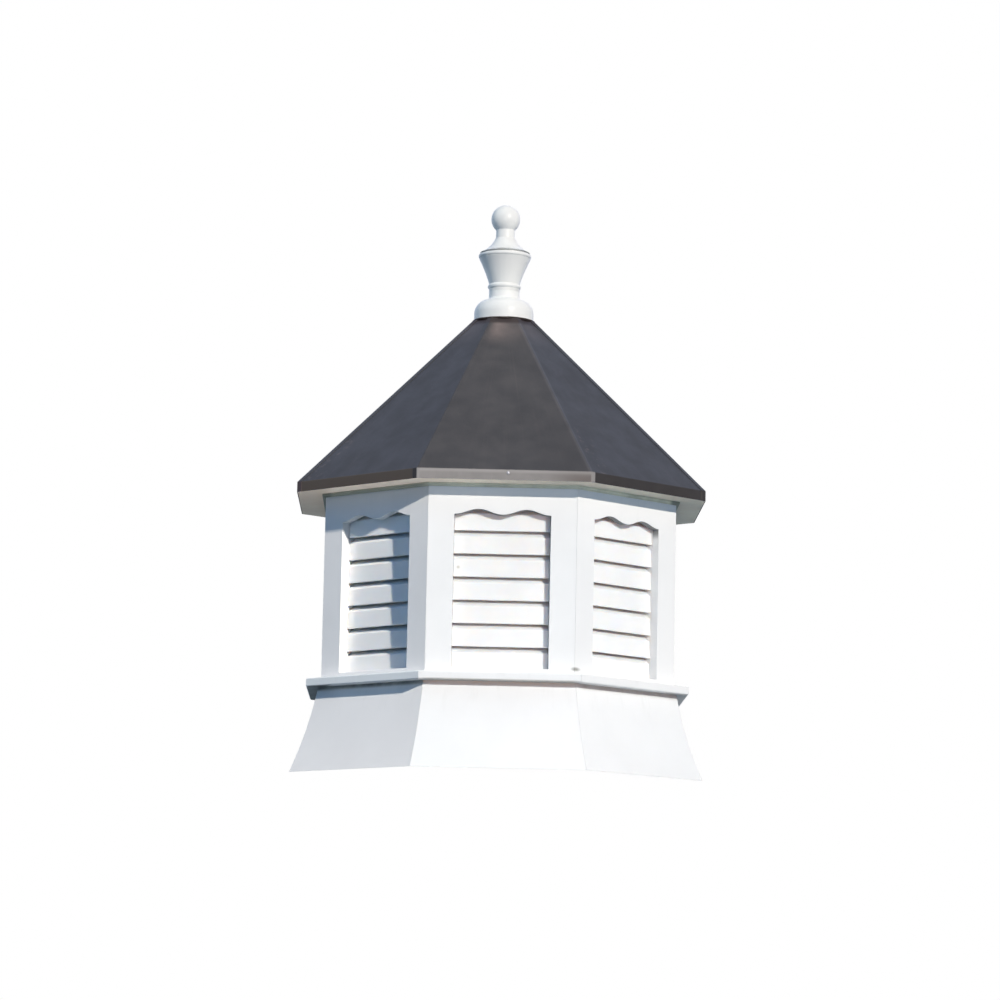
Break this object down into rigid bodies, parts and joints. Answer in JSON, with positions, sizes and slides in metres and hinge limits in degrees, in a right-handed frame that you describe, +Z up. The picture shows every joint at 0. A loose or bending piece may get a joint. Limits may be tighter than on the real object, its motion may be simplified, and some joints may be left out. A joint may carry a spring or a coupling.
{
  "type": "garage cupola",
  "caption": "Octagonal louvred roof cupola with a flared vinyl base, scalloped openings, boxed eave, folded dark metal pyramid roof and a turned urn finial",
  "frame": {"origin": "middle of the foot of the flared base, at the level of the faces it rests on", "axes": "+Z up along the axis of the eight sides, -Y out of the front side seen in the picture, +X to that side's right"},
  "size_m": [0.914, 0.914, 1.3255],
  "materials": {
    "base_vinyl": "white vinyl sheet, satin, lightly weathered",
    "trim_vinyl": "white vinyl trim board, satin",
    "wall_vinyl": "white vinyl sheet, satin",
    "louvre_vinyl": "white vinyl slats, satin",
    "bed_trim": "olive-grey trim strip, matte",
    "soffit_vinyl": "cream underside of the eave, matte",
    "roof_metal": "dark bronze painted sheet, faded, low sheen",
    "deck_wood": "bare plywood and softwood inside the roof",
    "finial_vinyl": "white moulded vinyl, soft gloss"
  },
  "bodies": {
    "root": {"base_panel_front": "base_vinyl", "base_panel_front_right": "base_vinyl", "base_panel_right": "base_vinyl", "base_panel_back_right": "base_vinyl", "base_panel_back": "base_vinyl", "base_panel_back_left": "base_vinyl", "base_panel_left": "base_vinyl", "base_panel_front_left": "base_vinyl", "sill": "trim_vinyl", "wall_panel_front": "wall_vinyl", "wall_panel_front_right": "wall_vinyl", "wall_panel_right": "wall_vinyl", "wall_panel_back_right": "wall_vinyl", "wall_panel_back": "wall_vinyl", "wall_panel_back_left": "wall_vinyl", "wall_panel_left": "wall_vinyl", "wall_panel_front_left": "wall_vinyl", "louvres_front": "louvre_vinyl", "louvres_front_right": "louvre_vinyl", "louvres_right": "louvre_vinyl", "louvres_back_right": "louvre_vinyl", "louvres_back": "louvre_vinyl", "louvres_back_left": "louvre_vinyl", "louvres_left": "louvre_vinyl", "louvres_front_left": "louvre_vinyl", "bed_moulding": "bed_trim", "soffit": "soffit_vinyl", "roof_deck": "deck_wood", "roof_panel_front": "roof_metal", "roof_panel_front_right": "roof_metal", "roof_panel_right": "roof_metal", "roof_panel_back_right": "roof_metal", "roof_panel_back": "roof_metal", "roof_panel_back_left": "roof_metal", "roof_panel_left": "roof_metal", "roof_panel_front_left": "roof_metal", "finial_post": "deck_wood", "finial": "finial_vinyl"}
  },
  "joints": []
}
